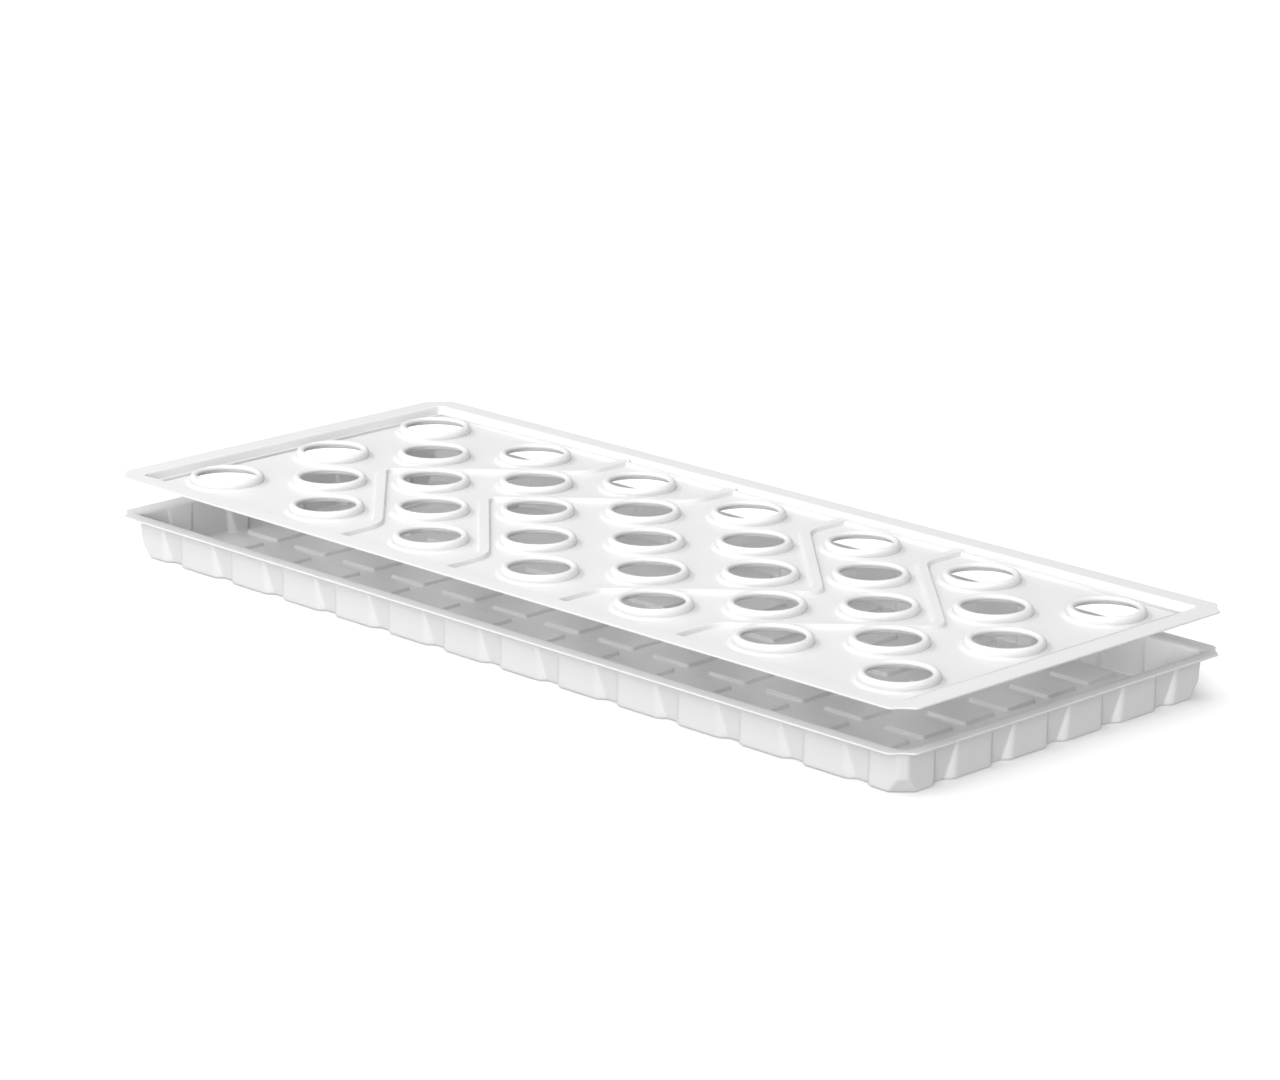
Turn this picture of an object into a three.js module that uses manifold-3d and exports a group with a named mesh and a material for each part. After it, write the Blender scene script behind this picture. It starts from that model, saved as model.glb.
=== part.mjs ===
// Two-piece hydroponic growing tray: a shallow fluted reservoir tray and the perforated
// planting lid that drops onto its rim, drawn with the lid lifted straight up off its seat.
// Millimetres, +Z up, +X along the long side. The origin is on the ground at the tray's centre.

import * as THREE from 'three';
import { mergeVertices } from 'three/addons/utils/BufferGeometryUtils.js';
import Module from 'manifold-3d';

const wasm = await Module();
wasm.setup();

// ---------- driving dimensions ----------
const HOLE_RADIUS = 25; // planting hole, sized for a 50 mm net cup
const SHEET = 1.5; // thermoformed sheet thickness
const LENGTH = 907; // outline of both flanges
const WIDTH = 382;
const FLANGE_CUT = 15; // each flange corner is cut off at 45 degrees, slightly hollow
const FLANGE_HOLLOW = 2;

const TRAY_HEIGHT = 38; // ground to the top of the rim
const LAND_INSET = [11, 9]; // flat top of the rim: long sides, short ends
const WALL_INSET = [15, 12.8]; // outer face of the wall under the rim
const WALL_DRAFT = 2; // the wall leans in by this much at the ground
const WALL_CORNER = 6.5;
const CORNER_TAPER_HEIGHT = 14; // below this the wall corners taper into wide facets
const CORNER_TAPER_CUT = 15;
const RIM_ROUND = 5.5; // round from the rim's flat top into the inner wall

const FLUTES = [13, 5]; // flutes on each long side and on each short end
const FLUTE_PITCH = [65.6, 64.1];
const FLUTE_MOUTH_TOP = 26.2;
const FLUTE_MOUTH_FOOT = 22;
const FLUTE_DEPTH = 5.6; // at the ground, tapering to nothing under the rim
const FLUTE_START = 0.2;

const PAD_COUNT = [14, 7]; // raised pads on the tray floor
const PAD_PITCH = [62.2, 48.8];
const PAD_SIZE = [41.2, 36];
const PAD_HEIGHT = 2.5;
const PAD_SLOPE = 1;

const HOLE_ROWS = 5; // rows alternate between seven and six holes
const HOLES_IN_LONG_ROW = 7;
const HOLE_PITCH = 128.3;
const ROW_PITCH = 60.2;

const LID_LIFT = 33.2; // how far the lid's flange hangs above the tray's rim
const RECESS_DEPTH = 6.7; // flange top to the perforated panel
const LEDGE_DEPTH = 4.1; // flange top to the ledge along the long sides
const RIB_DEPTH = 3.1; // flange top to the crests of the ribs
const RECESS_TOP_INSET = [16, 19];
const LEDGE_OUTER_INSET = [17.9, 20.2];
const LEDGE_INNER_INSET = [25.2, 20.6];
const PANEL_INSET = [26.4, 22.2];
const RECESS_CORNER = 8;
const SHEET_SHIFT = 1.2; // how far the underside of a sloping wall lies outside its top side

const COLLAR_SEGMENTS = 16;
const COLLAR_CREST = 0.8; // crest of the collar above the flange top
const COLLAR_OUTER = 31.8;
const COLLAR_FOOT = 37;

const RIB_FOOT_WIDTH = 12.5;
const RIB_CREST_WIDTH = 6.5;
const RIB_END = WIDTH / 2 - 21; // the ribs run out into the ledges

// ---------- helpers ----------
const CORNER_STEPS = 3;
const LAPS = 4;

// Turns a point of the front side into the same point of side q, a quarter turn each.
function quarterTurn([u, v], q) {
  return [[u, v], [-v, u], [-u, -v], [v, -u]][q % LAPS];
}

// Four points round a corner, from (a - leg, -b) to (a, -b + leg). bulge is the
// outward rise of its middle: positive for a round corner, negative for a hollow one.
function cornerPoints(a, b, leg, bulge) {
  const points = [];
  for (let i = 0; i <= CORNER_STEPS; i++) {
    const t = i / CORNER_STEPS;
    const rise = (4 * t * (1 - t) * bulge) / Math.SQRT2;
    points.push([a - leg * (1 - t) + rise, -b + leg * t - rise]);
  }
  return points;
}

const roundBulge = (radius) => radius * (1 - Math.SQRT1_2);

// A level loop round the piece, counter-clockwise from above.
// inset is [long sides, short ends]; flutes gives mouth, depth and flank run, or null.
function loop({ z, inset, leg, bulge, flutes = null }) {
  const half = [LENGTH / 2 - inset[1], WIDTH / 2 - inset[0]];
  const points = [];
  for (let q = 0; q < LAPS; q++) {
    const along = half[q % 2];
    const across = half[(q + 1) % 2];
    const side = [];
    if (flutes) {
      const last = (FLUTES[q % 2] - 1) / 2;
      for (let k = -last; k <= last; k++) {
        const centre = k * FLUTE_PITCH[q % 2];
        const mouth = flutes.mouth / 2;
        side.push([centre - mouth, -across]);
        side.push([centre - mouth + flutes.flank, -across + flutes.depth]);
        side.push([centre + mouth - flutes.flank, -across + flutes.depth]);
        side.push([centre + mouth, -across]);
      }
    }
    side.push(...cornerPoints(along, across, leg, bulge));
    for (const point of side) points.push([...quarterTurn(point, q), z]);
  }
  return points;
}

// Closed skin over a stack of loops: the first loop is capped facing up and the
// last one facing down, so the stack runs from the inside over the rim to the underside.
function loft(loops) {
  const count = loops[0].length;
  const positions = loops.flat(2);
  const index = [];
  for (let row = 0; row < loops.length - 1; row++) {
    for (let i = 0; i < count; i++) {
      const j = (i + 1) % count;
      const [a, b] = [row * count + i, row * count + j];
      const [c, d] = [a + count, b + count];
      index.push(a, c, b, b, c, d);
    }
  }
  const flat = (points) => points.map(([x, y]) => new THREE.Vector2(x, y));
  for (const face of THREE.ShapeUtils.triangulateShape(flat(loops[0]), [])) index.push(...face);
  const base = (loops.length - 1) * count;
  for (const [a, b, c] of THREE.ShapeUtils.triangulateShape(flat(loops.at(-1)), [])) {
    index.push(base + a, base + c, base + b);
  }
  const geometry = new THREE.BufferGeometry();
  geometry.setAttribute('position', new THREE.Float32BufferAttribute(positions, 3));
  geometry.setIndex(index);
  return geometry;
}

function toSolid(geometry) {
  const bare = geometry.clone();
  bare.deleteAttribute('normal');
  bare.deleteAttribute('uv');
  const merged = mergeVertices(bare, 1e-4);
  return new wasm.Manifold(new wasm.Mesh({
    numProp: 3,
    vertProperties: new Float32Array(merged.attributes.position.array),
    triVerts: new Uint32Array(merged.index.array),
  }));
}

function toGeometry(solid) {
  const mesh = solid.getMesh();
  const geometry = new THREE.BufferGeometry();
  geometry.setAttribute('position', new THREE.Float32BufferAttribute(mesh.vertProperties, 3));
  geometry.setIndex([...mesh.triVerts]);
  return geometry;
}

const shifted = ([a, b], by) => [a + by, b + by];

// ---------- tray ----------
// Flute section at height z; widen carries it to the inner side of the sheet.
function fluteAt(z, widen = 0) {
  const share = 1 - z / (TRAY_HEIGHT - SHEET);
  const depth = Math.max(FLUTE_DEPTH * share, FLUTE_START);
  const mouth = FLUTE_MOUTH_TOP + (FLUTE_MOUTH_FOOT - FLUTE_MOUTH_TOP) * share + 2 * widen;
  return { mouth, depth, flank: depth };
}

const flatFlute = { mouth: FLUTE_MOUTH_TOP, depth: 0, flank: FLUTE_DEPTH };

function wallLoop(z, side) {
  const inner = side === 'inner';
  const lean = WALL_DRAFT * (1 - z / TRAY_HEIGHT);
  const taper = Math.max(0, 1 - z / CORNER_TAPER_HEIGHT);
  return loop({
    z,
    inset: shifted(WALL_INSET, lean + (inner ? SHEET : 0)),
    leg: WALL_CORNER + (CORNER_TAPER_CUT - WALL_CORNER) * taper,
    bulge: roundBulge(WALL_CORNER) * (1 - taper),
    flutes: fluteAt(z, inner ? SHEET / 2 : 0),
  });
}

function rimLoop(z, inset, leg = FLANGE_CUT, bulge = -FLANGE_HOLLOW) {
  return loop({ z, inset, leg, bulge, flutes: flatFlute });
}

function makeTray() {
  const rimBottom = TRAY_HEIGHT - SHEET;
  const shell = toSolid(loft([
    wallLoop(SHEET, 'inner'),
    wallLoop(CORNER_TAPER_HEIGHT, 'inner'),
    wallLoop(TRAY_HEIGHT - RIM_ROUND, 'inner'),
    rimLoop(TRAY_HEIGHT, LAND_INSET, WALL_CORNER, roundBulge(WALL_CORNER)),
    rimLoop(TRAY_HEIGHT, [0, 0]),
    rimLoop(rimBottom, [0, 0]),
    wallLoop(rimBottom, 'outer'),
    wallLoop(CORNER_TAPER_HEIGHT, 'outer'),
    wallLoop(0, 'outer'),
  ]));
  let solid = shell;
  const pad = toSolid(makePad(0, SHEET / 2, SHEET + PAD_HEIGHT));
  const pocket = toSolid(makePad(SHEET, -SHEET, PAD_HEIGHT));
  for (let i = 0; i < PAD_COUNT[0]; i++) {
    for (let j = 0; j < PAD_COUNT[1]; j++) {
      const x = (i - (PAD_COUNT[0] - 1) / 2) * PAD_PITCH[0];
      const y = (j - (PAD_COUNT[1] - 1) / 2) * PAD_PITCH[1];
      solid = solid.add(pad.translate([x, y, 0])).subtract(pocket.translate([x, y, 0]));
    }
  }
  return toGeometry(solid);
}

// A low frustum. A pad's foot is sunk in the floor sheet, and the pocket under it opens downwards.
function makePad(shrink, bottom, top) {
  const rectangle = (inset, z) => {
    const [a, b] = [PAD_SIZE[0] / 2 - inset, PAD_SIZE[1] / 2 - inset];
    return [[-a, -b, z], [a, -b, z], [a, b, z], [-a, b, z]];
  };
  return loft([rectangle(shrink + PAD_SLOPE, top), rectangle(shrink, bottom)]);
}

// ---------- lid ----------
const flangeTop = TRAY_HEIGHT + LID_LIFT + SHEET;

const recessLoop = (z, inset) => loop({
  z: flangeTop + z, inset, leg: RECESS_CORNER, bulge: roundBulge(RECESS_CORNER),
});
const flangeLoop = (z) => loop({
  z: flangeTop + z, inset: [0, 0], leg: FLANGE_CUT, bulge: -FLANGE_HOLLOW,
});

function holeCentres() {
  const centres = [];
  for (let row = 0; row < HOLE_ROWS; row++) {
    const count = HOLES_IN_LONG_ROW - (row % 2);
    for (let i = 0; i < count; i++) {
      centres.push([(i - (count - 1) / 2) * HOLE_PITCH, (row - (HOLE_ROWS - 1) / 2) * ROW_PITCH]);
    }
  }
  return centres;
}

// Raised round-topped collar with a flared foot sunk into the panel.
function makeCollar() {
  const panel = -RECESS_DEPTH;
  const under = panel - SHEET;
  const profile = [
    [HOLE_RADIUS, under + 0.3], [COLLAR_FOOT, under + 0.3], [COLLAR_OUTER, panel + 2],
    [COLLAR_OUTER - 0.3, -1.4], [28.6, COLLAR_CREST], [HOLE_RADIUS, -1.6], [HOLE_RADIUS, under + 0.3],
  ];
  const points = profile.map(([r, z]) => new THREE.Vector2(r, z));
  return new THREE.LatheGeometry(points, COLLAR_SEGMENTS).rotateX(Math.PI / 2);
}

// The two edges of a path widened by half on each side, mitred at its bends, as one loop.
function ribbonLoop(path, half, z) {
  const offset = (i, sign) => {
    const before = path[Math.max(i - 1, 0)];
    const here = path[i];
    const after = path[Math.min(i + 1, path.length - 1)];
    const incoming = i > 0 ? here.clone().sub(before).normalize() : null;
    const outgoing = i < path.length - 1 ? after.clone().sub(here).normalize() : null;
    const first = incoming ?? outgoing;
    const second = outgoing ?? incoming;
    const direction = first.clone().add(second).normalize();
    const reach = half / direction.dot(first);
    return [here.x - sign * direction.y * reach, here.y + sign * direction.x * reach, z];
  };
  const right = path.map((_, i) => offset(i, -1));
  const left = path.map((_, i) => offset(i, 1)).reverse();
  return [...right, ...left];
}

// A rib runs straight off each long side between two holes, then slants along the
// staggered holes to a point on the lid's centre line. reach is +1 or -1 along X.
function makeRib(startX, reach) {
  const bend = 2 * ROW_PITCH;
  const path = [
    [startX, -RIB_END], [startX, -bend], [startX + reach * HOLE_PITCH, 0],
    [startX, bend], [startX, RIB_END],
  ].map(([x, y]) => new THREE.Vector2(x, y));
  return loft([
    ribbonLoop(path, RIB_CREST_WIDTH / 2, flangeTop - RIB_DEPTH),
    ribbonLoop(path, RIB_FOOT_WIDTH / 2, flangeTop - RECESS_DEPTH - SHEET / 2),
  ]);
}

function makeLid() {
  const under = (z) => z - SHEET;
  let solid = toSolid(loft([
    recessLoop(-RECESS_DEPTH, PANEL_INSET),
    recessLoop(-LEDGE_DEPTH, LEDGE_INNER_INSET),
    recessLoop(-LEDGE_DEPTH, LEDGE_OUTER_INSET),
    recessLoop(0, RECESS_TOP_INSET),
    flangeLoop(0),
    flangeLoop(under(0)),
    recessLoop(under(0), shifted(RECESS_TOP_INSET, -SHEET_SHIFT)),
    recessLoop(under(-LEDGE_DEPTH), shifted(LEDGE_OUTER_INSET, -SHEET_SHIFT)),
    recessLoop(under(-LEDGE_DEPTH), shifted(LEDGE_INNER_INSET, -SHEET_SHIFT)),
    recessLoop(under(-RECESS_DEPTH), shifted(PANEL_INSET, -SHEET_SHIFT)),
  ]));
  for (const side of [-1, 1]) {
    solid = solid.add(toSolid(makeRib(side * 1.5 * HOLE_PITCH, side)));
    solid = solid.add(toSolid(makeRib(side * 0.5 * HOLE_PITCH, side)));
  }
  const cutter = toSolid(new THREE.CylinderGeometry(
    HOLE_RADIUS + 2, HOLE_RADIUS + 2, 4 * RECESS_DEPTH, COLLAR_SEGMENTS,
  ).rotateX(Math.PI / 2));
  const collar = toSolid(makeCollar());
  for (const [x, y] of holeCentres()) {
    solid = solid.subtract(cutter.translate([x, y, flangeTop]));
    solid = solid.add(collar.translate([x, y, flangeTop]));
  }
  return toGeometry(solid);
}

// ---------- assembly ----------
function named(name, geometry, material) {
  const mesh = new THREE.Mesh(geometry, material);
  mesh.name = name;
  return mesh;
}

const group = new THREE.Group();
group.add(named('tray', makeTray(), new THREE.MeshStandardMaterial({
  color: 0xf0f0ef, roughness: 0.42, metalness: 0,
})));
group.add(named('lid', makeLid(), new THREE.MeshStandardMaterial({
  color: 0xf4f4f3, roughness: 0.4, metalness: 0,
})));

export default group;
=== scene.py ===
"""Looks of the two-piece growing tray: a fluted reservoir tray and its perforated planting lid.

Both pieces are thin moulded sheets. Each one is drawn here as its upper surface and then given
its thickness. Lengths in this script are millimetres until a mesh is made in metres.
"""

import math

import bpy
import numpy as np
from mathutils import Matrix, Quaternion, Vector
from mathutils.geometry import delaunay_2d_cdt


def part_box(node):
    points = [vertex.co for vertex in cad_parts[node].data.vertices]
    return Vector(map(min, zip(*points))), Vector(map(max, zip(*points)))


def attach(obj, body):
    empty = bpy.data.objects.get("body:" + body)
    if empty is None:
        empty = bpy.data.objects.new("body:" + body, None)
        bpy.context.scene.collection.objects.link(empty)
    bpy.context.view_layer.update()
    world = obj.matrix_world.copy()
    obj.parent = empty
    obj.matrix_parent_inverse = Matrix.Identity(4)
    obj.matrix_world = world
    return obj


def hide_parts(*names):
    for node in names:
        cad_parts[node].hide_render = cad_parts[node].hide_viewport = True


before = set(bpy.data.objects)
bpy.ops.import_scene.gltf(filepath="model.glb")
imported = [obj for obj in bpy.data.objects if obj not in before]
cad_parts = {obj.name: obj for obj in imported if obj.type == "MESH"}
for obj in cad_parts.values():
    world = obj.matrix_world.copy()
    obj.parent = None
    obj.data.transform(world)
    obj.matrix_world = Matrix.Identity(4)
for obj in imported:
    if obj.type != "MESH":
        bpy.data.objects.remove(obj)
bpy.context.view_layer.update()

MM = 0.001

# ---------- sizes ----------
# Pairs are (short ends, long sides) for insets and (along, across) for counts and pitches.
TRAY_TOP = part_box("tray")[1] / MM
LID_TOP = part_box("lid")[1] / MM
HALF_X, HALF_Y = TRAY_TOP.x, TRAY_TOP.y
SHEET = 1.5

# Flange outline, the same on both pieces
RIM_REACH = 0.3
EDGE_INSET = 0.35
EDGE_BAND = 1.2
EAR_CUT = 15.0
EAR_HOLLOW = 2.0
EAR_ROUND = 2.4
HOLLOW_ROUND = 6.0
EAR_LEAD = 30

# Lid heights, measured from the top of its flange
FLANGE_Z = LID_TOP.z - 0.8
PANEL = -6.7
LEDGE = -3.1
SIDE_LEDGE = -4.1

# The lid's recess
RECESS_START = (16.0, 12.6)
RECESS_ROUND = 12.0
RECESS_CORNER_STEPS = 6
RECESS_LINES = (
    -0.8, 0.2, 1.4, 2.6, 2.9, 3.2, 3.6, 3.9, 4.2, 4.5, 4.8, 5.1, 5.4, 5.6, 5.85, 6.1, 6.35, 6.6,
    6.85, 7.1, 8.4, 10.4, 12.4, 14.0, 14.3, 14.6, 14.9, 15.2, 15.5, 16.2,
)
END_SHOULDER_INSET = 18.8
END_SHOULDER_WIDTH = 2.0
END_SHOULDER_DROP = 1.4
END_WALL_INSET = 20.2
END_WALL_WIDTH = 1.3
BROW_INSET = 17.2
BROW_DROP = 0.3
SIDE_STEP_INSET = 18.2
SIDE_STEP_WIDTH = 1.4
SIDE_PANEL_INSET = 26.8
SIDE_BLEND = 1.2

# Planting holes and the collars round them
HOLE_PITCH = 128.3
ROW_PITCH = 60.2
HOLE_ROWS = (7, 6, 7, 6, 7)
HOLE_STEPS = 48
COLLAR_FOOT = 32.0
COLLAR_LINES = (COLLAR_FOOT, 32.6, 33.2, 33.8, 34.4, 35.0, 35.6, 36.4, 37.6)
COLLAR_PROFILE = (
    (31.3, -5.4), (31.45, -4.8), (31.7, -3.8), (31.75, -2.7), (31.6, -1.7), (31.15, -0.85),
    (30.5, -0.15), (29.6, 0.45), (28.6, 0.75), (27.5, 0.68), (26.6, 0.42), (25.85, 0.05),
    (25.3, -0.45), (25.05, -1.0), (25.0, -1.6), (25.0, -2.3),
)
FLARE = 1.2
FLARE_START = 32.4
FLARE_WIDTH = 4.0
FLARE_LIMIT = 39

# Zigzag ribs of the lid
RIB_HALF = 5.4
RIB_CREST_HALF = 3.7
RIB_BEND = 14.0
RIB_END_INSET = 21.0
RIB_STARTS = (-1.5, -0.5, 0.5, 1.5)
RIB_LINES = (0, 2.4, 3.3, 3.7, 4.1, 4.5, 4.9, 5.3, 5.6, 6.4)

# Walls of the tray
WALL_INSET = (12.8, 15.0)
WALL_DRAFT = 2.0
WALL_CHAMFER = 4.6
WALL_LEVELS = (3.4, 7.0, 11.6, 12.2, 12.8, 13.6, 18.0, 24.0, 29.0, 31.0)
FACET_Z = 14.0
FACET_CUT = 14.0
CHAMFER_ROUND = 1.6
LAND_INSET = (9.0, 11.0)
LAND_ROUND = 2.0
LAND_LIP = 1.2
RIM_STEPS = ((0.0, 2.6), (0.12, 1.6), (0.32, 0.85), (0.6, 0.25), (1.0, 0.0))
FLUTE_COUNT = (13, 5)
FLUTE_PITCH = (65.6, 64.1)
FLUTE_TOP = 26.2
FLUTE_FOOT = 22.0
FLUTE_DEPTH = 5.6
FLUTE_ROUND = 2.0
FLUTE_LEAD = 4

# Pads on the tray's floor
PAD_COUNT = (14, 7)
PAD_PITCH = (62.2, 48.8)
PAD_SIZE = (41.2, 36.0)
PAD_HEIGHT = 3.0
PAD_ROUND = 3.0
PAD_SLOPE = 0.9
PAD_LINES = (0.6, 0.0, -0.25, -0.45, -0.65, -0.9, -1.6)

# Camera
CAMERA_PLACE = (2.58557, -2.60631, 1.12021)
CAMERA_TURN = (0.73677392, 0.55752735, 0.2274027, 0.30759625)
CAMERA_LENS = 131.8


# ---------- small helpers ----------
def smooth(t):
    t = np.clip(t, 0.0, 1.0)
    return t * t * (3 - 2 * t)


def smooth_max(a, b, k):
    h = np.clip(0.5 + 0.5 * (a - b) / k, 0.0, 1.0)
    return b + (a - b) * h + k * h * (1 - h)


def fillet(corners, reach, steps):
    """Open polyline with each inner corner replaced by a curve that starts `reach` before it."""
    pts = [np.array(p, float) for p in corners]
    out = [pts[0]]
    for i in range(1, len(pts) - 1):
        p, a, b = pts[i], pts[i - 1], pts[i + 1]
        la, lb = np.linalg.norm(a - p), np.linalg.norm(b - p)
        r = reach[i] if isinstance(reach, (list, tuple)) else reach
        start = p + (a - p) * min(r / max(la, 1e-9), 0.49)
        end = p + (b - p) * min(r / max(lb, 1e-9), 0.49)
        for k in range(steps + 1):
            t = k / steps
            out.append((1 - t) ** 2 * start + 2 * t * (1 - t) * p + t * t * end)
    out.append(pts[-1])
    return out


def quarter_turn(p, q):
    """Carries a corner or side drawn at the front right to the other three."""
    u, v = p
    return ((u, v), (-v, u), (-u, -v), (v, -u))[q % 4]


def inside_polygon(x, y, polygon):
    inside = np.zeros(x.shape, bool)
    j = len(polygon) - 1
    for i in range(len(polygon)):
        xi, yi = polygon[i]
        xj, yj = polygon[j]
        if yi != yj:
            crosses = ((yi > y) != (yj > y)) & (x < (xj - xi) * (y - yi) / (yj - yi) + xi)
            inside ^= crosses
        j = i
    return inside


# ---------- outline shared by both flanges ----------
def ear_corner(a, b, inset):
    """One corner of the flange: two rounded ears and a hollow cut between them."""
    cut = EAR_CUT - inset * 0.6
    mid = np.array((a - cut / 2, -b + cut / 2)) + EAR_HOLLOW * np.array((-1, 1)) / math.sqrt(2)
    line = [
        (a - cut - EAR_LEAD, -b), (a - cut, -b), tuple(mid), (a, -b + cut), (a, -b + cut + EAR_LEAD),
    ]
    pts = fillet(line, [0, EAR_ROUND, HOLLOW_ROUND, EAR_ROUND, 0], 5)
    return pts[1:-1]


def outline(inset):
    pts = []
    for q in range(4):
        a, b = (HALF_X, HALF_Y) if q % 2 == 0 else (HALF_Y, HALF_X)
        for p in ear_corner(a - inset, b - inset, inset):
            pts.append(quarter_turn(p, q))
    return pts


# ---------- sheet builder ----------
class Sheet:
    """Vertices and faces of an upper surface. Points at the same place share one vertex."""

    def __init__(self):
        self.co = []
        self.faces = []
        self.index = {}

    def vert(self, p):
        key = (round(p[0], 3), round(p[1], 3), round(p[2], 3))
        if key not in self.index:
            self.index[key] = len(self.co)
            self.co.append(tuple(p))
        return self.index[key]

    def face(self, ids):
        clean = []
        for i in ids:
            if i not in clean:
                clean.append(i)
        if len(clean) > 2:
            self.faces.append(clean)

    def band(self, lower, upper):
        """Quads between two closed loops of the same length."""
        n = len(lower)
        a = [self.vert(p) for p in lower]
        b = [self.vert(p) for p in upper]
        for i in range(n):
            j = (i + 1) % n
            self.face([a[i], a[j], b[j], b[i]])

    def add_plan(self, xy, z, tri):
        """Triangles of a plan, each corner at its own height."""
        ids = [None] * len(xy)
        for t in tri:
            for k in t:
                if ids[k] is None:
                    ids[k] = self.vert((xy[k, 0], xy[k, 1], z[k]))
            self.face([ids[k] for k in t])


def vertex_normals(co, faces):
    """Normals weighted by the angle of each triangle's corner."""
    normal = np.zeros_like(co)
    tris = []
    for f in faces:
        for k in range(1, len(f) - 1):
            tris.append((f[0], f[k], f[k + 1]))
    tris = np.array(tris)
    a, b, c = co[tris[:, 0]], co[tris[:, 1]], co[tris[:, 2]]
    flat = np.cross(b - a, c - a)
    length = np.linalg.norm(flat, axis=1, keepdims=True)
    unit = flat / np.maximum(length, 1e-12)
    for k in range(3):
        p, q, r = (co[tris[:, (k + s) % 3]] for s in range(3))
        u, v = q - p, r - p
        reach = np.linalg.norm(u, axis=1) * np.linalg.norm(v, axis=1)
        angle = np.arccos(np.clip((u * v).sum(1) / np.maximum(reach, 1e-12), -1, 1))
        np.add.at(normal, tris[:, k], unit * angle[:, None])
    return normal / np.maximum(np.linalg.norm(normal, axis=1, keepdims=True), 1e-12)


def solidify(sheet):
    """Adds the underside at an even distance and closes every free edge with a rounded rim."""
    rim_profile = ((0.12, 0.6), (0.35, 1.0), (0.65, 1.0), (0.88, 0.6))
    co = np.array(sheet.co, float)
    normal = vertex_normals(co, sheet.faces)

    edges = {}
    for f in sheet.faces:
        for i in range(len(f)):
            e = (f[i], f[(i + 1) % len(f)])
            edges[e] = edges.get(e, 0) + 1
    free = [e for e in edges if (e[1], e[0]) not in edges]

    count = len(co)
    verts = [co, co - normal * SHEET]
    faces = [list(f) for f in sheet.faces]
    faces += [[count + i for i in reversed(f)] for f in sheet.faces]
    # Direction out of the sheet at each free vertex
    out = {}
    for i, j in free:
        along = co[j] - co[i]
        away = np.cross(along, normal[i] + normal[j])
        away /= max(np.linalg.norm(away), 1e-12)
        for k in (i, j):
            out[k] = out.get(k, 0) + away
    ring = {}
    extra = []
    for k, away in out.items():
        away = away / max(np.linalg.norm(away), 1e-12)
        ring[k] = []
        for t, push in rim_profile:
            ring[k].append(2 * count + len(extra))
            extra.append(co[k] - normal[k] * SHEET * t + away * RIM_REACH * push)
    for i, j in free:
        column_i = [i, *ring[i], count + i]
        column_j = [j, *ring[j], count + j]
        for s in range(len(rim_profile) + 1):
            faces.append([column_j[s], column_i[s], column_i[s + 1], column_j[s + 1]])
    verts.append(np.array(extra))
    return np.concatenate(verts), faces


def make_object(name, sheet, body, node, material):
    """Makes the mesh in metres and ties it to its body and to the node it stands for."""
    co, faces = solidify(sheet)
    mesh = bpy.data.meshes.new(name)
    mesh.from_pydata((co * MM).tolist(), [], faces)
    mesh.update()
    mesh.validate()
    for polygon in mesh.polygons:
        polygon.use_smooth = True
    obj = bpy.data.objects.new(name, mesh)
    bpy.context.scene.collection.objects.link(obj)
    weighted = obj.modifiers.new("even_normals", "WEIGHTED_NORMAL")
    weighted.mode = "FACE_AREA_WITH_ANGLE"
    weighted.weight = 60
    obj.data.materials.append(material)
    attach(obj, body)
    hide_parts(node)


def triangulate(lines, height, skip):
    """Triangles of a plan of lines. skip(x, y) drops the triangles whose centre it holds for."""
    pts, edges = [], []
    for line, closed in lines:
        base = len(pts)
        pts += [Vector((p[0], p[1])) for p in line]
        edges += [(base + i, base + i + 1) for i in range(len(line) - 1)]
        if closed:
            edges.append((base + len(line) - 1, base))
    made = delaunay_2d_cdt(pts, edges, [], 0, 0.01)
    xy = np.array([tuple(v) for v in made[0]])
    tri = np.array([f for f in made[2] if len(f) == 3])
    centre = xy[tri].mean(axis=1)
    tri = tri[~skip(centre[:, 0], centre[:, 1])]
    a, b, c = xy[tri[:, 0]], xy[tri[:, 1]], xy[tri[:, 2]]
    area = (b[:, 0] - a[:, 0]) * (c[:, 1] - a[:, 1]) - (b[:, 1] - a[:, 1]) * (c[:, 0] - a[:, 0])
    tri[area < 0] = tri[area < 0][:, ::-1]
    tri = tri[np.abs(area) > 1e-7]
    return xy, height(xy[:, 0], xy[:, 1]), tri


# ---------- lid ----------
def hole_centres():
    out = []
    for row, count in enumerate(HOLE_ROWS):
        for i in range(count):
            out.append(((i - (count - 1) / 2) * HOLE_PITCH, (row - 2) * ROW_PITCH))
    return np.array(out)


HOLES = hole_centres()


def rib_paths():
    """Each rib runs in from the long side, turns out between the holes and comes back."""
    bend = 2 * ROW_PITCH
    end = HALF_Y - RIB_END_INSET
    paths = []
    for start in RIB_STARTS:
        reach = math.copysign(1, start)
        x0, x1 = start * HOLE_PITCH, (start + reach) * HOLE_PITCH
        corners = [(x0, -end), (x0, -bend), (x1, 0), (x0, bend), (x0, end)]
        paths.append(np.array(fillet(corners, RIB_BEND, 8)))
    return paths


RIBS = rib_paths()


def rib_distance(x, y):
    best = np.full(x.shape, 1e9)
    p = np.stack([x, y], axis=1)
    for path in RIBS:
        for a, b in zip(path[:-1], path[1:]):
            d = b - a
            t = np.clip(((p - a) @ d) / (d @ d), 0, 1)
            near = a + t[:, None] * d
            best = np.minimum(best, np.linalg.norm(p - near, axis=1))
    return best


def hole_distance(x, y):
    near = np.full(x.shape, 1e9)
    for hx, hy in HOLES:
        near = np.minimum(near, np.hypot(x - hx, y - hy))
    return near


def short_profile(i):
    """Height at inset i from a short end: a rounded shoulder, then a steep wall."""
    shoulder = np.clip((i - END_SHOULDER_INSET) / END_SHOULDER_WIDTH, 0, 1)
    drop = 1 - np.sqrt(np.clip(1 - shoulder**2, 0, 1))
    wall = smooth((i - END_WALL_INSET) / END_WALL_WIDTH)
    return -END_SHOULDER_DROP * drop + (PANEL + END_SHOULDER_DROP) * wall


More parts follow.
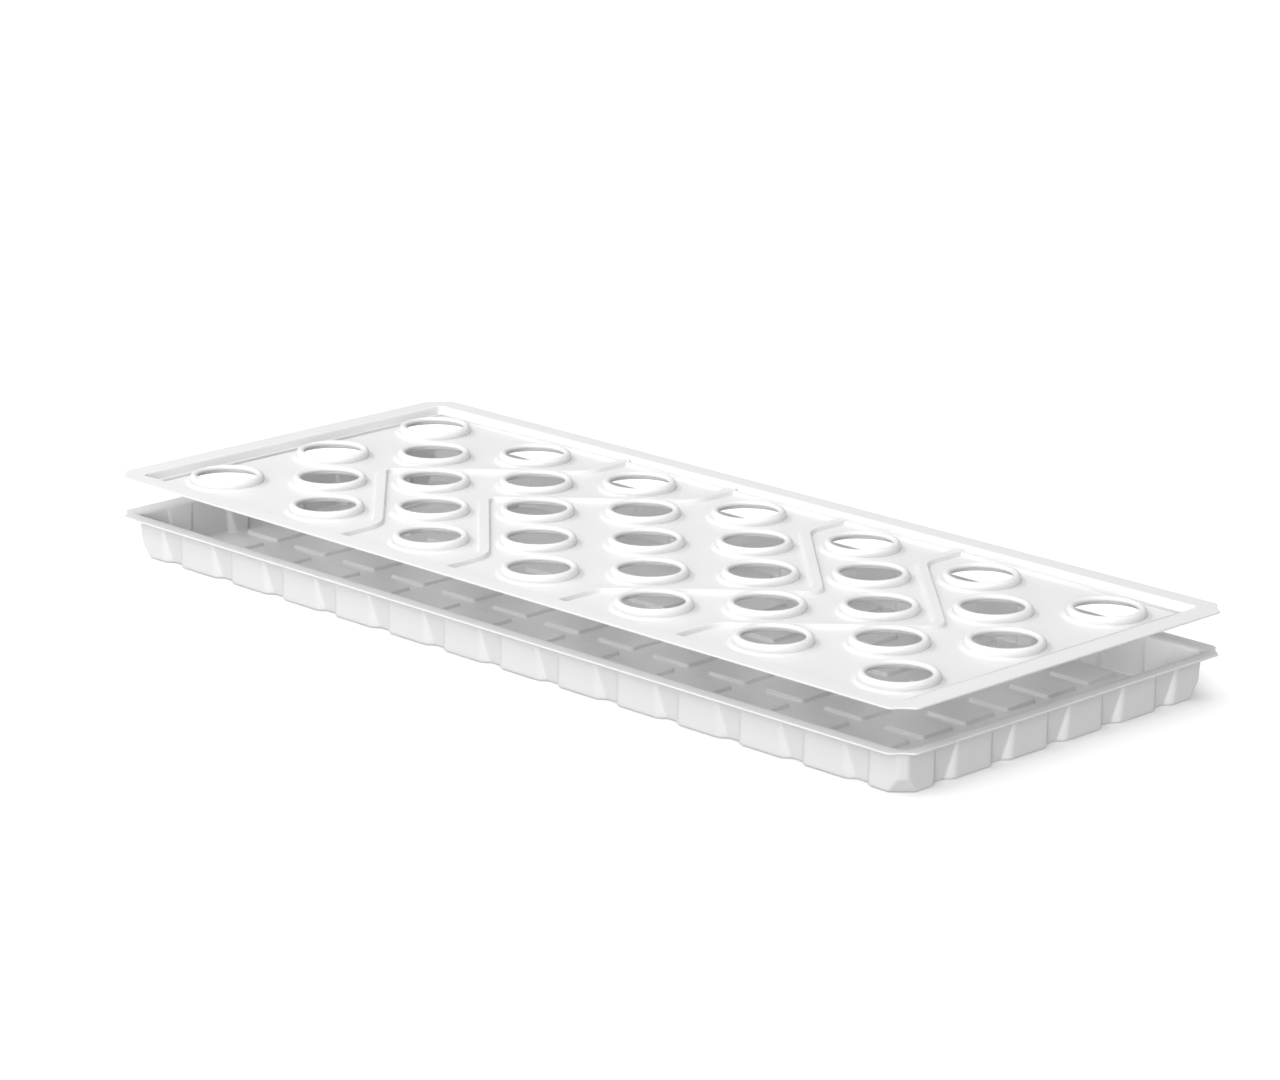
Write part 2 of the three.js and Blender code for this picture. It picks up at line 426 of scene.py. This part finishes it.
def long_profile(i):
    """Height at inset i from a long side: a soft brow, a step, a ledge and a second step."""
    brow = -BROW_DROP * np.clip((i - BROW_INSET) / SIDE_BLEND, 0, 1) ** 2
    first = (SIDE_LEDGE + BROW_DROP) * smooth((i - SIDE_STEP_INSET) / SIDE_STEP_WIDTH)
    second = (PANEL - SIDE_LEDGE) * smooth((i - SIDE_PANEL_INSET) / SIDE_BLEND)
    return brow + first + second


def recess(x, y):
    """The two profiles, turned into each other round the recess's corners."""
    end_start, side_start = RECESS_START
    ix, iy = HALF_X - np.abs(x), HALF_Y - np.abs(y)
    a, b = ix - end_start, iy - side_start
    r = RECESS_ROUND
    corner = (a < r) & (b < r)
    round_dist = r - np.hypot(r - np.minimum(a, r), r - np.minimum(b, r))
    dist = np.where(corner, round_dist, np.minimum(a, b))
    turn = np.arctan2(r - a, r - b) / (math.pi / 2)
    share = smooth(np.where(corner, turn, np.where(a < b, 1.0, 0.0)))
    return long_profile(dist + side_start) * (1 - share) + short_profile(dist + end_start) * share


def lid_height(x, y):
    z = recess(x, y)
    slope = smooth((RIB_HALF - rib_distance(x, y)) / (RIB_HALF - RIB_CREST_HALF))
    rib = PANEL + (LEDGE - PANEL) * slope
    z = smooth_max(z, np.where(rib > PANEL + 1e-6, rib, PANEL - 2), 0.25)
    near = hole_distance(x, y)
    flare = PANEL + FLARE * (1 - smooth((near - FLARE_START) / FLARE_WIDTH))
    return np.where(near < FLARE_LIMIT, smooth_max(z, flare, 0.1), z)


def circle(cx, cy, r):
    turns = [2 * math.pi * k / HOLE_STEPS for k in range(HOLE_STEPS)]
    return [(cx + r * math.cos(t), cy + r * math.sin(t)) for t in turns]


def recess_loop(dist):
    """A loop of the recess at a distance inside its start."""
    end_start, side_start = RECESS_START
    along, across = HALF_X - end_start - dist, HALF_Y - side_start - dist
    r = max(RECESS_ROUND - dist, 0.0)
    pts = []
    for q in range(4):
        a, b = (along, across) if q % 2 == 0 else (across, along)
        if r < 0.3:
            pts.append(quarter_turn((a, -b), q))
            continue
        for k in range(RECESS_CORNER_STEPS + 1):
            t = math.pi / 2 * k / RECESS_CORNER_STEPS
            pts.append(quarter_turn((a - r + r * math.sin(t), -b + r - r * math.cos(t)), q))
    return pts


def rib_lines():
    """Lines beside each rib's middle line, to carry its slopes."""
    lines = []
    for path in RIBS:
        ahead = np.gradient(path, axis=0)
        side = np.stack([-ahead[:, 1], ahead[:, 0]], axis=1)
        side /= np.linalg.norm(side, axis=1, keepdims=True)
        for offset in RIB_LINES:
            for sign in ((1, -1) if offset else (1,)):
                lines.append(((path + side * offset * sign).tolist(), False))
    return lines


def build_lid(material):
    sheet = Sheet()
    edge = outline(EDGE_INSET)
    lines = [(edge, True), (outline(EDGE_BAND), True)]
    lines += [(recess_loop(dist), True) for dist in RECESS_LINES]
    lines += rib_lines()
    for hx, hy in HOLES:
        lines += [(circle(hx, hy, r), True) for r in COLLAR_LINES]

    def outside(x, y):
        return (hole_distance(x, y) < COLLAR_FOOT - 0.05) | ~inside_polygon(x, y, np.array(edge))

    xy, z, tri = triangulate(lines, lid_height, outside)
    sheet.add_plan(xy, z + FLANGE_Z, tri)
    profile = ((COLLAR_FOOT, PANEL + FLARE), *COLLAR_PROFILE)
    for hx, hy in HOLES:
        rings = [[(px, py, h + FLANGE_Z) for px, py in circle(hx, hy, r)] for r, h in profile]
        for outer, inner in zip(rings[:-1], rings[1:]):
            sheet.band(outer, inner)
    make_object("planting_lid", sheet, "lid", "lid", material)


# ---------- tray ----------
def fluted_side(across, count, pitch, share, flank):
    """One side of a level loop: a row of flutes with rounded corners."""
    depth = max(FLUTE_DEPTH * share, 0.05)
    mouth = (FLUTE_TOP + (FLUTE_FOOT - FLUTE_TOP) * share) / 2 + SHEET * 0.4
    run = depth if flank is None else flank
    side = []
    for k in range(count):
        c = (k - (count - 1) / 2) * pitch
        corners = [
            (c - mouth - FLUTE_LEAD, -across),
            (c - mouth, -across),
            (c - mouth + run, -across + depth),
            (c + mouth - run, -across + depth),
            (c + mouth, -across),
            (c + mouth + FLUTE_LEAD, -across),
        ]
        side += fillet(corners, FLUTE_ROUND, 3)
    return side


def fluted_loop(z, inset, leg, reach, share, flank=None):
    """Level loop of the wall's inner face: fluted sides and chamfered corners."""
    pts = []
    for q in range(4):
        ax = q % 2
        long_way, short_way = HALF_X - inset[0], HALF_Y - inset[1]
        along, across = (long_way, short_way) if ax == 0 else (short_way, long_way)
        side = fluted_side(across, FLUTE_COUNT[ax], FLUTE_PITCH[ax], share, flank)
        start, end = (along - leg, -across), (along, -across + leg)
        line = [(start[0] - FLUTE_LEAD, start[1]), start, end, (end[0], end[1] + FLUTE_LEAD)]
        for p in side + fillet(line, reach, 4):
            pts.append((*quarter_turn(p, q), z))
    return pts


def wall_loop(z, extra=0.0):
    lean = WALL_DRAFT * (1 - z / TRAY_TOP.z)
    taper = min(max(0.0, 1 - (z - SHEET) / (FACET_Z - SHEET)), 1.0)
    inset = tuple(w + lean + SHEET + extra for w in WALL_INSET)
    leg = WALL_CHAMFER + (FACET_CUT - WALL_CHAMFER) * taper
    share = 1 - z / (TRAY_TOP.z - SHEET)
    return fluted_loop(z, inset, leg, CHAMFER_ROUND - 0.6 * taper, max(share, 0.0))


def land_loop(inset, leg):
    """Level loop of the flat land round the tray's mouth, with the tops of the flutes."""
    return fluted_loop(TRAY_TOP.z, inset, leg, LAND_ROUND, 0.0, flank=FLUTE_DEPTH * 0.3)


def blend_loops(a, b, t, z):
    return [((1 - t) * p[0] + t * q[0], (1 - t) * p[1] + t * q[1], z) for p, q in zip(a, b)]


def pad_centres():
    nx, ny = PAD_COUNT
    return [
        ((i - (nx - 1) / 2) * PAD_PITCH[0], (j - (ny - 1) / 2) * PAD_PITCH[1])
        for i in range(nx)
        for j in range(ny)
    ]


def pad_loop(cx, cy, grow):
    """Rounded rectangle round a pad's foot, grown by `grow`."""
    a, b = PAD_SIZE[0] / 2 + grow, PAD_SIZE[1] / 2 + grow
    r = max(PAD_ROUND + grow, 0.6)
    pts = []
    for q, (sx, sy) in enumerate(((1, -1), (1, 1), (-1, 1), (-1, -1))):
        for k in range(4):
            t = -math.pi / 2 + math.pi / 2 * q + math.pi / 2 * k / 3
            pts.append((cx + sx * (a - r) + r * math.cos(t), cy + sy * (b - r) + r * math.sin(t)))
    return pts


def floor_height(x, y):
    nx, ny = PAD_COUNT
    i = np.clip(np.round(x / PAD_PITCH[0] + (nx - 1) / 2), 0, nx - 1)
    j = np.clip(np.round(y / PAD_PITCH[1] + (ny - 1) / 2), 0, ny - 1)
    u = np.abs(x - (i - (nx - 1) / 2) * PAD_PITCH[0])
    v = np.abs(y - (j - (ny - 1) / 2) * PAD_PITCH[1])
    r = PAD_ROUND
    a, b = u - (PAD_SIZE[0] / 2 - r), v - (PAD_SIZE[1] / 2 - r)
    outside = np.hypot(np.maximum(a, 0), np.maximum(b, 0)) + np.minimum(np.maximum(a, b), 0) - r
    return SHEET + PAD_HEIGHT * smooth(-outside / PAD_SLOPE)


def wall_loops():
    """Level loops from the edge of the floor up the wall and over the rim."""
    top = TRAY_TOP.z
    loops = [
        wall_loop(SHEET, extra=1.6),
        [(x, y, SHEET + 0.25) for x, y, _ in wall_loop(SHEET, extra=0.7)],
        wall_loop(SHEET + 0.8, extra=0.2),
    ]
    loops += [wall_loop(z) for z in WALL_LEVELS]
    loops.append(wall_loop(top - 4.2))
    shoulder = wall_loop(top - 2.2)
    land = land_loop(LAND_INSET, WALL_CHAMFER)
    loops += [blend_loops(shoulder, land, t, top - drop) for t, drop in RIM_STEPS]
    loops.append(land_loop(tuple(i - LAND_LIP for i in LAND_INSET), WALL_CHAMFER + 1))
    return loops


def build_tray(material):
    sheet = Sheet()
    top = TRAY_TOP.z
    loops = wall_loops()
    for inner, outer in zip(loops[:-1], loops[1:]):
        sheet.band(outer, inner)

    # Flat land out to the ears
    mouth = [(x, y) for x, y, _ in loops[-1]]
    edge = outline(EDGE_INSET)
    lines = [(mouth, True), (outline(EDGE_BAND), True), (edge, True)]
    xy, z, tri = triangulate(
        lines,
        lambda x, y: np.full(x.shape, top),
        lambda x, y: inside_polygon(x, y, np.array(mouth)) | ~inside_polygon(x, y, np.array(edge)),
    )
    sheet.add_plan(xy, z, tri)

    # Floor with its pads
    foot = [(x, y) for x, y, _ in loops[0]]
    lines = [(foot, True)]
    for cx, cy in pad_centres():
        lines += [(pad_loop(cx, cy, grow), True) for grow in PAD_LINES]
    xy, z, tri = triangulate(
        lines, floor_height, lambda x, y: ~inside_polygon(x, y, np.array(foot))
    )
    sheet.add_plan(xy, z, tri)
    make_object("reservoir_tray", sheet, "tray", "tray", material)


# ---------- material ----------
def plastic(name, colour, roughness):
    """Moulded white plastic: a faint cloudiness, a fine grain and an uneven gloss."""
    material = bpy.data.materials.new(name)
    material.use_nodes = True
    tree = material.node_tree
    shader = tree.nodes["Principled BSDF"]
    shader.inputs["IOR"].default_value = 1.5
    shader.inputs["Specular IOR Level"].default_value = 0.5
    place = tree.nodes.new("ShaderNodeTexCoord")

    def noise(scale, detail):
        node = tree.nodes.new("ShaderNodeTexNoise")
        node.inputs["Scale"].default_value = scale
        node.inputs["Detail"].default_value = detail
        tree.links.new(place.outputs["Object"], node.inputs["Vector"])
        return node

    cloud = noise(9.0, 3.0)
    ramp = tree.nodes.new("ShaderNodeValToRGB")
    ramp.color_ramp.elements[0].position = 0.3
    ramp.color_ramp.elements[1].position = 0.7
    ramp.color_ramp.elements[0].color = (*[c * 0.985 for c in colour], 1)
    ramp.color_ramp.elements[1].color = (*colour, 1)
    tree.links.new(cloud.outputs["Fac"], ramp.inputs["Fac"])
    tree.links.new(ramp.outputs["Color"], shader.inputs["Base Color"])

    patch = noise(35.0, 2.0)
    spread = tree.nodes.new("ShaderNodeMapRange")
    spread.inputs["To Min"].default_value = roughness - 0.05
    spread.inputs["To Max"].default_value = roughness + 0.05
    tree.links.new(patch.outputs["Fac"], spread.inputs["Value"])
    tree.links.new(spread.outputs["Result"], shader.inputs["Roughness"])

    grain = noise(1800.0, 2.0)
    bump = tree.nodes.new("ShaderNodeBump")
    bump.inputs["Strength"].default_value = 0.06
    bump.inputs["Distance"].default_value = 0.0002
    tree.links.new(grain.outputs["Fac"], bump.inputs["Height"])
    tree.links.new(bump.outputs["Normal"], shader.inputs["Normal"])
    return material


WHITE = (0.66, 0.66, 0.658)
build_lid(plastic("lid_white_plastic", WHITE, 0.42))
build_tray(plastic("tray_white_plastic", WHITE, 0.44))


# ---------- floor, light and camera ----------
def add_to_scene(name, data):
    obj = bpy.data.objects.new(name, data)
    bpy.context.scene.collection.objects.link(obj)
    return obj


def build_floor(half_width):
    r = half_width
    mesh = bpy.data.meshes.new("floor")
    mesh.from_pydata([(-r, -r, 0), (r, -r, 0), (r, r, 0), (-r, r, 0)], [], [(0, 1, 2, 3)])
    floor = add_to_scene("floor", mesh)
    material = bpy.data.materials.new("floor_white")
    material.use_nodes = True
    shader = material.node_tree.nodes["Principled BSDF"]
    shader.inputs["Base Color"].default_value = (0.98, 0.98, 0.98, 1)
    shader.inputs["Roughness"].default_value = 1.0
    shader.inputs["Specular IOR Level"].default_value = 0.0
    mesh.materials.append(material)
    floor.visible_diffuse = False


def far_light(name, azimuth, elevation, spread, strength):
    """A far, even light. Azimuth 0 stands in front (-Y), 90 at the right end (+X)."""
    data = bpy.data.lights.new(name, "SUN")
    data.angle = math.radians(spread)
    data.energy = strength
    light = add_to_scene(name, data)
    a, e = math.radians(azimuth), math.radians(elevation)
    away = Vector((math.sin(a) * math.cos(e), -math.cos(a) * math.cos(e), math.sin(e)))
    light.location = away * 5.0
    light.rotation_mode = "QUATERNION"
    light.rotation_quaternion = away.to_track_quat("Z", "Y")


def near_light(name, place, power, radius):
    """A soft light close to the front left that casts no shadow."""
    data = bpy.data.lights.new(name, "POINT")
    data.energy = power
    data.shadow_soft_size = radius
    data.use_shadow = False
    add_to_scene(name, data).location = place


build_floor(half_width=40.0)
far_light("key", azimuth=-45, elevation=68, spread=90, strength=2.4)
far_light("low_key", azimuth=37, elevation=12, spread=40, strength=2.75)
near_light("fill", place=(-0.45, -1.0, 0.95), power=18.0, radius=0.25)
world = bpy.data.worlds.new("studio")
bpy.context.scene.world = world
world.use_nodes = True
world.node_tree.nodes["Background"].inputs["Color"].default_value = (1, 1, 1, 1)
world.node_tree.nodes["Background"].inputs["Strength"].default_value = 0.37

camera_data = bpy.data.cameras.new("camera")
camera_data.sensor_width = 36.0
camera_data.lens = CAMERA_LENS
camera_data.clip_end = 200.0
camera = add_to_scene("camera", camera_data)
camera.location = CAMERA_PLACE
camera.rotation_mode = "QUATERNION"
camera.rotation_quaternion = Quaternion(CAMERA_TURN)
bpy.context.scene.camera = camera
bpy.context.scene.view_settings.view_transform = "Standard"
